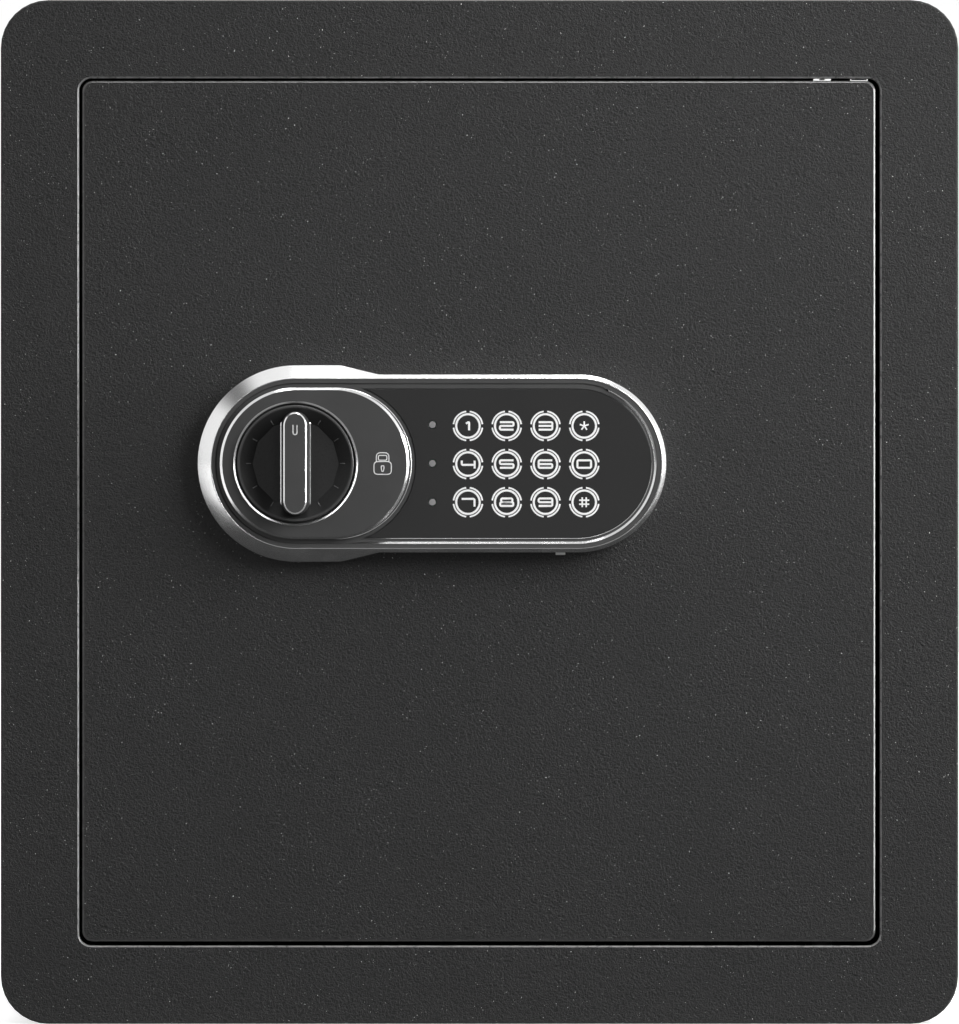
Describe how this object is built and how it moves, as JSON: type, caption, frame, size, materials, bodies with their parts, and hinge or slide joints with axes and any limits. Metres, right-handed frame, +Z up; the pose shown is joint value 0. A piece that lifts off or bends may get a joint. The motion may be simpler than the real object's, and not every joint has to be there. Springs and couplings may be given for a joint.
{
  "type": "electronic safe",
  "caption": "Steel home safe with a flush hinged door, a chrome-rimmed touch keypad, a turning knob that throws side bolts, an oval lock cover and a lift-out shelf.",
  "frame": {"origin": "on the floor under the middle of the safe's bounding box", "axes": "+X to the right as the front is seen, +Y from the door towards the rear wall, +Z up"},
  "size_m": [0.36, 0.352, 0.385],
  "materials": {
    "powder_coat": "charcoal powder coat with a fine orange-peel grain",
    "chrome": "bright satin chrome",
    "zinc_steel": "zinc-plated",
    "dark_plastic": "fine matte",
    "lens_black": "gloss black with printed white touch rings",
    "satin_grey": "satin graphite with bright chamfers",
    "light_grey": "satin",
    "board_green": "solder mask",
    "felt": "short-pile felt",
    "brass": "machined",
    "cell_wrap": "plain printed sleeve without lettering",
    "red_plastic": "moulded"
  },
  "bodies": {
    "safe_body": {"body_wrap": "powder_coat", "rear_wall": "powder_coat", "front_frame": "powder_coat", "hinge_bracket_top": "powder_coat", "hinge_bracket_bottom": "powder_coat", "hinge_pin_top": "zinc_steel", "hinge_pin_bottom": "zinc_steel", "shelf_support_left": "powder_coat", "shelf_support_right": "powder_coat", "floor_mat": "felt", "anchor_plug_1": "dark_plastic", "anchor_plug_2": "dark_plastic"},
    "shelf": {"shelf": "powder_coat"},
    "door": {"door_plate": "powder_coat", "door_pan": "powder_coat", "door_back_cover": "powder_coat", "hinge_block_top": "zinc_steel", "hinge_block_bottom": "zinc_steel", "cover_screw_1": "zinc_steel", "cover_screw_2": "zinc_steel", "cover_screw_3": "zinc_steel", "cover_screw_4": "zinc_steel", "lock_bezel": "chrome", "panel_face": "dark_plastic", "keypad_lens": "lens_black", "keypad_trim": "chrome", "keypad_board": "board_green", "indicator_light_1": "light_grey", "indicator_light_2": "light_grey", "indicator_light_3": "light_grey", "power_port_cover": "light_grey", "ribbon_cable": "light_grey", "panel_screw_1": "zinc_steel", "panel_screw_2": "zinc_steel", "key_cylinder": "zinc_steel", "solenoid_bracket": "zinc_steel", "solenoid_body": "dark_plastic", "guide_stud_1": "zinc_steel", "guide_stud_2": "zinc_steel", "spindle_bushing": "brass", "control_box": "dark_plastic", "battery_box": "dark_plastic", "battery_1": "cell_wrap", "battery_2": "cell_wrap", "battery_3": "cell_wrap", "battery_4": "cell_wrap", "reset_housing": "dark_plastic"},
    "knob": {"knob": "satin_grey", "knob_spindle": "zinc_steel", "spindle_clip": "zinc_steel", "knob_cam": "zinc_steel"},
    "bolts": {"bolt_carriage": "zinc_steel", "locking_bolt_upper": "zinc_steel", "locking_bolt_lower": "zinc_steel"},
    "key": {"key_plug": "brass", "key_cam": "zinc_steel"},
    "plunger": {"solenoid_plunger": "zinc_steel"},
    "lock_cover": {"lock_cover": "satin_grey"},
    "battery_lid": {"battery_lid": "dark_plastic"},
    "reset_button": {"reset_button": "red_plastic"}
  },
  "joints": [
    {"name": "door_swing", "type": "hinge", "parent": "safe_body", "child": "door", "pos_m": [0.129, -0.136, 0.193], "axis": [0, 0, 1], "range_deg": [0, 110]},
    {"name": "knob_turn", "type": "hinge", "parent": "door", "child": "knob", "pos_m": [-0.0689, -0.144, 0.2107], "axis": [0, 1, 0], "range_deg": [0, 90]},
    {"name": "bolt_throw", "type": "slide", "parent": "door", "child": "bolts", "axis": [-1, 0, 0], "range_m": [0, 0.014]},
    {"name": "plunger_travel", "type": "slide", "parent": "door", "child": "plunger", "axis": [0, 0, -1], "range_m": [-0.005, 0]},
    {"name": "key_turn", "type": "hinge", "parent": "door", "child": "key", "pos_m": [-0.0361, -0.144, 0.2107], "axis": [0, 1, 0], "range_deg": [0, 90]},
    {"name": "cover_pull", "type": "slide", "parent": "door", "child": "lock_cover", "axis": [0, -1, 0], "range_m": [0, 0.035]},
    {"name": "battery_lid_swing", "type": "hinge", "parent": "door", "child": "battery_lid", "pos_m": [0.04, -0.0975, 0.1048], "axis": [-1, 0, 0], "range_deg": [0, 100]},
    {"name": "reset_press", "type": "slide", "parent": "door", "child": "reset_button", "axis": [0, -1, 0], "range_m": [0, 0.002], "stiffness_N_per_m": 300},
    {"name": "shelf_lift", "type": "slide", "parent": "safe_body", "child": "shelf", "axis": [0, 0, 1], "range_m": [0, 0.02]}
  ],
  "couplings": [
    {"joint": "knob_turn", "follows": "bolt_throw", "rad_per_m": 112.2}
  ]
}
